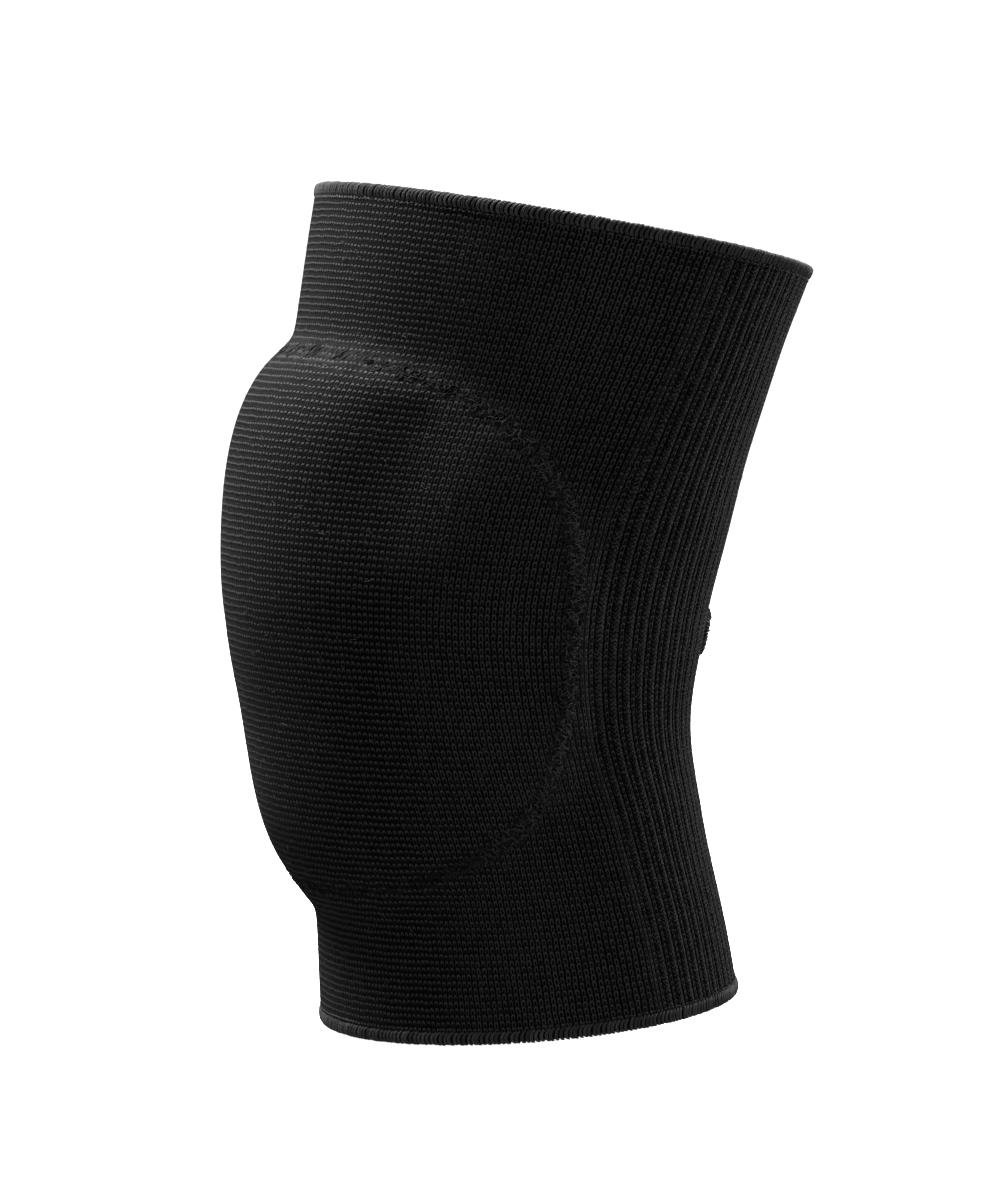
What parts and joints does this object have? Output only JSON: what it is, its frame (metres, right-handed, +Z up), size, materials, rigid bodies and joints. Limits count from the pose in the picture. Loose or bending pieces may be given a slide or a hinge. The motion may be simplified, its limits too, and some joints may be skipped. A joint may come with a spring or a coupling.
{
  "type": "padded knee sleeve",
  "caption": "Pull-on knee pad: a knitted hourglass tube with a crowned foam cushion in front, ribs down the back, overlocked rims and an oval opening behind the knee.",
  "frame": {"origin": "on the leg's axis at the middle height of the knee, where the pad sits on the leg", "axes": "+Z up the leg towards the thigh, -Y to the front where the cushion faces, X from side to side"},
  "size_m": [0.136, 0.1754, 0.2435],
  "materials": {
    "knit": "matt black elastic knit, ribbed at the back",
    "foam": "soft closed-cell foam",
    "seam_thread": "fuzzy black overlock thread",
    "overlock": "wrapped black overlock thread with a soft sheen"
  },
  "bodies": {
    "root": {"sleeve": "knit", "foam_pad": "foam", "pad_seam": "seam_thread", "top_hem": "overlock", "bottom_hem": "overlock", "knee_hole_edge": "overlock"}
  },
  "joints": []
}
